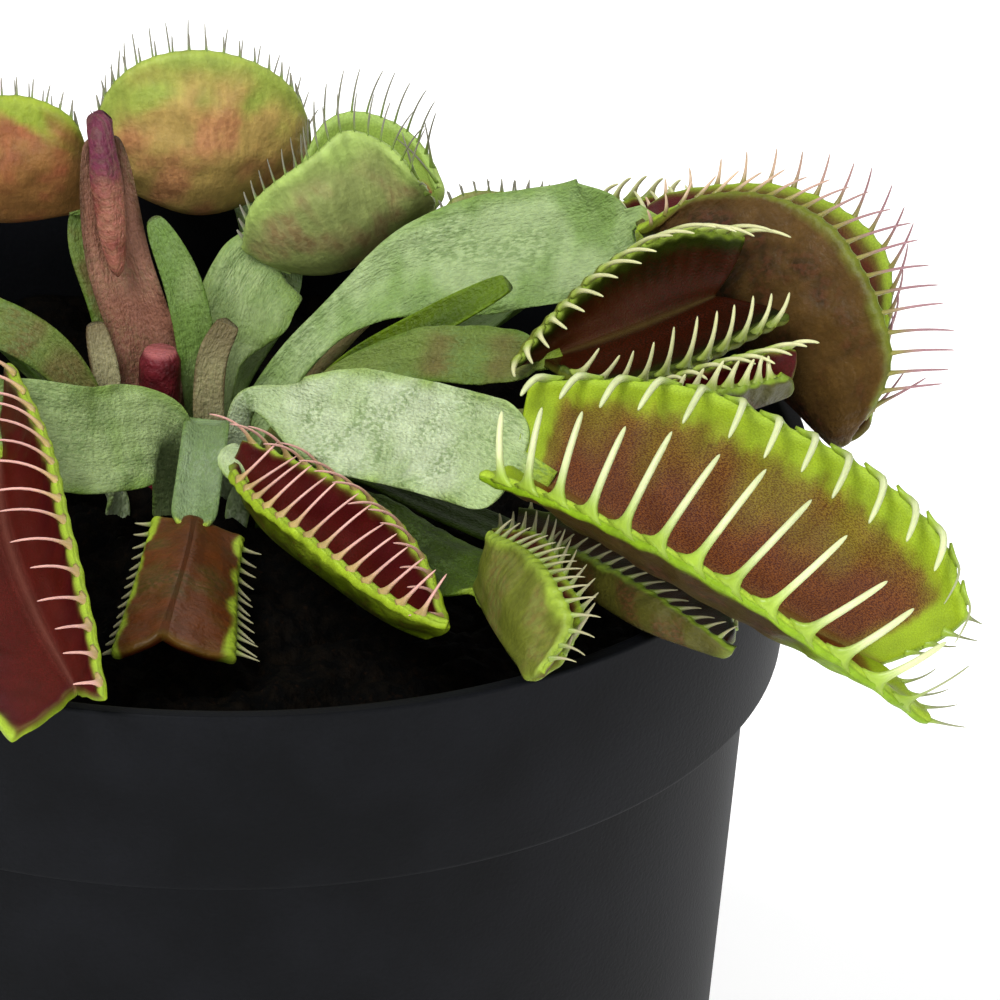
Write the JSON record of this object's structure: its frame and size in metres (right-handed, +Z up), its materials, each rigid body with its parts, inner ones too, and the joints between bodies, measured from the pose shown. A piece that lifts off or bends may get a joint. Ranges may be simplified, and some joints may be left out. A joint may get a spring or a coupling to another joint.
{
  "type": "potted venus flytrap",
  "caption": "Venus flytrap in a round black nursery pot: a rosette of flat winged leaf stalks ending in two-lobed toothed traps, growing from dark peat",
  "frame": {"origin": "centre of the pot's foot, in the plane it stands on", "axes": "+Z up along the pot's axis; -Y towards the side that the picture is taken from; +X to the right as seen from there"},
  "size_m": [0.0996, 0.1058, 0.0953],
  "materials": {
    "black_plastic": "satin black, thin walled",
    "peat": "moist crumbly peat",
    "rhizome": "white fleshy leaf bases",
    "pale_green_leaf": "living leaf, silvery pale green",
    "olive_leaf": "living leaf, olive with orange-brown",
    "brown_leaf": "young leaf, purple-brown",
    "bright_green_leaf": "living leaf, yellow-green",
    "dry_leaf": "dried leaf, matt",
    "red_stalk": "cut flower stalk, deep red"
  },
  "bodies": {
    "root": {"pot": "black_plastic", "soil": "peat", "rhizome": "rhizome", "flower_stalk_stump": "red_stalk", "leaf_back": "olive_leaf", "leaf_back_left": "olive_leaf", "leaf_back_middle": "pale_green_leaf", "leaf_behind_right": "olive_leaf", "leaf_dry_stub": "dry_leaf", "leaf_far_back": "pale_green_leaf", "leaf_far_back_left": "pale_green_leaf", "leaf_far_back_right": "pale_green_leaf", "leaf_front": "pale_green_leaf", "leaf_front_low": "bright_green_leaf", "leaf_front_right": "pale_green_leaf", "leaf_left": "olive_leaf", "leaf_left_behind": "brown_leaf", "leaf_left_front": "pale_green_leaf", "leaf_left_low": "pale_green_leaf", "leaf_over_rim": "bright_green_leaf", "leaf_right": "olive_leaf", "leaf_right_back": "pale_green_leaf", "leaf_small_right": "bright_green_leaf", "leaf_stub_left": "dry_leaf", "leaf_thin": "bright_green_leaf", "leaf_under_front_right": "bright_green_leaf", "young_leaf_small": "pale_green_leaf", "young_leaf_with_bud": "brown_leaf"}
  },
  "joints": []
}
